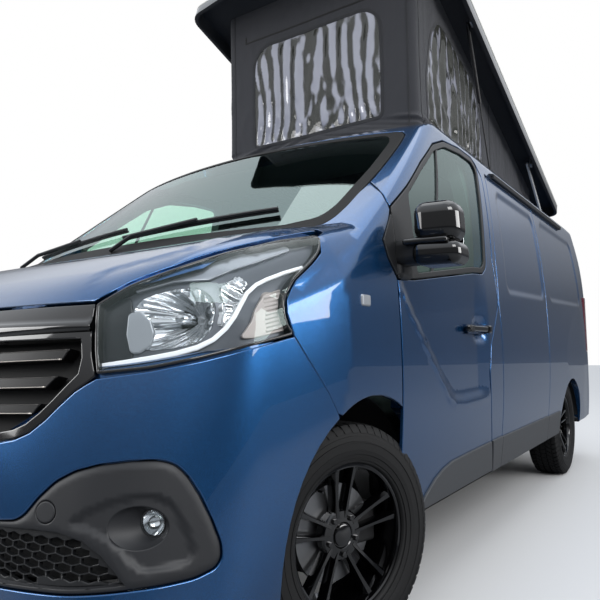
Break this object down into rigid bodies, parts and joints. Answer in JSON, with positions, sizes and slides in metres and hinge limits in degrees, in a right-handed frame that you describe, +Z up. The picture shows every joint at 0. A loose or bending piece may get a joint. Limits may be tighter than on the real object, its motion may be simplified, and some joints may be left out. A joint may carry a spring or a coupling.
{
  "type": "camper van",
  "caption": "Medium camper van with a rear-hinged lifting roof on a canvas surround, opening doors, bonnet and tailgate, steered front wheels and free-rolling wheels.",
  "frame": {"origin": "on the ground, under the middle of the bounding box", "axes": "+Z up, the vehicle faces -Y, its left side is +X"},
  "size_m": [2.3692, 5.0006, 3.1704],
  "materials": {
    "blue_paint": "gloss metallic mid blue",
    "gloss_black": "gloss black",
    "dark_plastic": "satin dark grey",
    "grey_plastic": "grained dark grey",
    "black_rail": "satin black coating",
    "lamp_lens": "clear polished lens",
    "fog_lens": "clear ribbed lens",
    "red_lens": "red lens",
    "tinted_glass": "green-tinted",
    "dark_glass": "dark tinted",
    "mirror_cap": "gloss black shell",
    "cab_plastic": "fine-grained dark grey",
    "seat_cloth": "woven dark grey",
    "engine_metal": "as cast",
    "chassis_paint": "satin black",
    "exhaust_steel": "dull, heat-toned",
    "canvas": "woven dark grey canvas",
    "lid_black": "gloss black shell",
    "bare_aluminium": "bright extruded",
    "strut_black": "gloss black",
    "rod_steel": "hard-chromed",
    "tyre": "black rubber",
    "alloy_black": "gloss black lacquer"
  },
  "bodies": {
    "body": {"body_shell": "blue_paint", "wing_left": "blue_paint", "wing_right": "blue_paint", "front_bumper": "blue_paint", "sliding_door": "blue_paint", "rear_bumper": "blue_paint", "upper_grille": "gloss_black", "lower_grille": "dark_plastic", "side_trims": "grey_plastic", "awning_rail": "black_rail", "arch_liners": "dark_plastic", "roof_frame": "black_rail", "headlamp_left": "lamp_lens", "headlamp_right": "lamp_lens", "fog_lamps": "fog_lens", "tail_lamps": "red_lens", "windscreen": "tinted_glass", "dashboard": "cab_plastic", "front_seats": "seat_cloth", "engine_block": "engine_metal", "subframe": "chassis_paint", "rear_axle": "chassis_paint", "exhaust": "exhaust_steel", "fuel_tank": "dark_plastic", "roof_canvas": "canvas"},
    "bonnet": {"bonnet": "blue_paint"},
    "door_left": {"door_left": "blue_paint", "door_glass_left": "tinted_glass", "mirror_left": "mirror_cap"},
    "door_right": {"door_right": "blue_paint", "door_glass_right": "tinted_glass", "mirror_right": "mirror_cap"},
    "tailgate": {"tailgate": "blue_paint", "tailgate_glass": "dark_glass"},
    "roof_lid": {"roof_lid": "lid_black"},
    "lift_arms": {"lift_arms": "bare_aluminium"},
    "strut_cylinders": {"strut_cylinders": "strut_black"},
    "strut_rods": {"strut_rods": "rod_steel"},
    "knuckle_left": {"knuckle_left": "chassis_paint"},
    "knuckle_right": {"knuckle_right": "chassis_paint"},
    "steering_wheel": {"steering_wheel": "cab_plastic"},
    "wheel_front_left": {"rim_front_left": "alloy_black", "tyre_front_left": "tyre"},
    "wheel_front_right": {"rim_front_right": "alloy_black", "tyre_front_right": "tyre"},
    "wheel_rear_left": {"rim_rear_left": "alloy_black", "tyre_rear_left": "tyre"},
    "wheel_rear_right": {"rim_rear_right": "alloy_black", "tyre_rear_right": "tyre"}
  },
  "joints": [
    {"name": "bonnet_hinge", "type": "hinge", "parent": "body", "child": "bonnet", "pos_m": [0, -1.718, 1.272], "axis": [-1, 0, 0], "range_deg": [0, 50]},
    {"name": "door_left_hinge", "type": "hinge", "parent": "body", "child": "door_left", "pos_m": [0.95, -1.48, 1], "axis": [0, 0, -1], "range_deg": [0, 68]},
    {"name": "door_right_hinge", "type": "hinge", "parent": "body", "child": "door_right", "pos_m": [-0.95, -1.48, 1], "axis": [0, 0, 1], "range_deg": [0, 68]},
    {"name": "tailgate_hinge", "type": "hinge", "parent": "body", "child": "tailgate", "pos_m": [0, 2.414, 1.888], "axis": [1, 0, 0], "range_deg": [0, 85]},
    {"name": "lift_arm_turn", "type": "hinge", "parent": "body", "child": "lift_arms", "pos_m": [0, 1.92, 1.985], "axis": [1, 0, 0], "range_deg": [0, 39.1], "deforming": ["roof_canvas"]},
    {"name": "roof_lift", "type": "hinge", "parent": "lift_arms", "child": "roof_lid", "pos_m": [0, 1.50011, 2.31979], "axis": [-1, 0, 0], "range_deg": [0, 19.3]},
    {"name": "strut_turn", "type": "hinge", "parent": "roof_lid", "child": "strut_cylinders", "pos_m": [0, 0.13708, 2.82327], "axis": [1, 0, 0], "range_deg": [0, 48.21]},
    {"name": "strut_slide", "type": "slide", "parent": "strut_cylinders", "child": "strut_rods", "axis": [0, -0.371, 0.9286], "range_m": [0, 0.35731]},
    {"name": "steer_left", "type": "hinge", "parent": "body", "child": "knuckle_left", "pos_m": [0.752, -1.567, 0.345], "axis": [0, 0, 1], "range_deg": [-17, 53]},
    {"name": "steer_right", "type": "hinge", "parent": "body", "child": "knuckle_right", "pos_m": [-0.752, -1.567, 0.345], "axis": [0, 0, 1], "range_deg": [-17, 53]},
    {"name": "steering_wheel_turn", "type": "hinge", "parent": "body", "child": "steering_wheel", "pos_m": [-0.42, -1.09, 1.075], "axis": [0, 0.8829, 0.4695], "range_deg": [-256, 796]},
    {"name": "wheel_front_left_spin", "type": "hinge", "parent": "knuckle_left", "child": "wheel_front_left", "pos_m": [0.80478, -1.58415, 0.345], "axis": [0.9511, -0.309, 0], "continuous": true},
    {"name": "wheel_front_right_spin", "type": "hinge", "parent": "knuckle_right", "child": "wheel_front_right", "pos_m": [-0.80478, -1.54985, 0.345], "axis": [0.9511, -0.309, 0], "continuous": true},
    {"name": "wheel_rear_left_spin", "type": "hinge", "parent": "body", "child": "wheel_rear_left", "pos_m": [0.814, 1.531, 0.345], "axis": [1, 0, 0], "continuous": true},
    {"name": "wheel_rear_right_spin", "type": "hinge", "parent": "body", "child": "wheel_rear_right", "pos_m": [-0.814, 1.531, 0.345], "axis": [1, 0, 0], "continuous": true}
  ],
  "couplings": [
    {"joint": "roof_lift", "follows": "lift_arm_turn", "ratio": 0.4936},
    {"joint": "strut_turn", "follows": "lift_arm_turn", "ratio": 1.2329},
    {"joint": "strut_slide", "follows": "lift_arm_turn", "m_per_rad": 0.5235},
    {"joint": "steer_right", "follows": "steer_left", "ratio": 1},
    {"joint": "steering_wheel_turn", "follows": "steer_left", "ratio": 15}
  ]
}
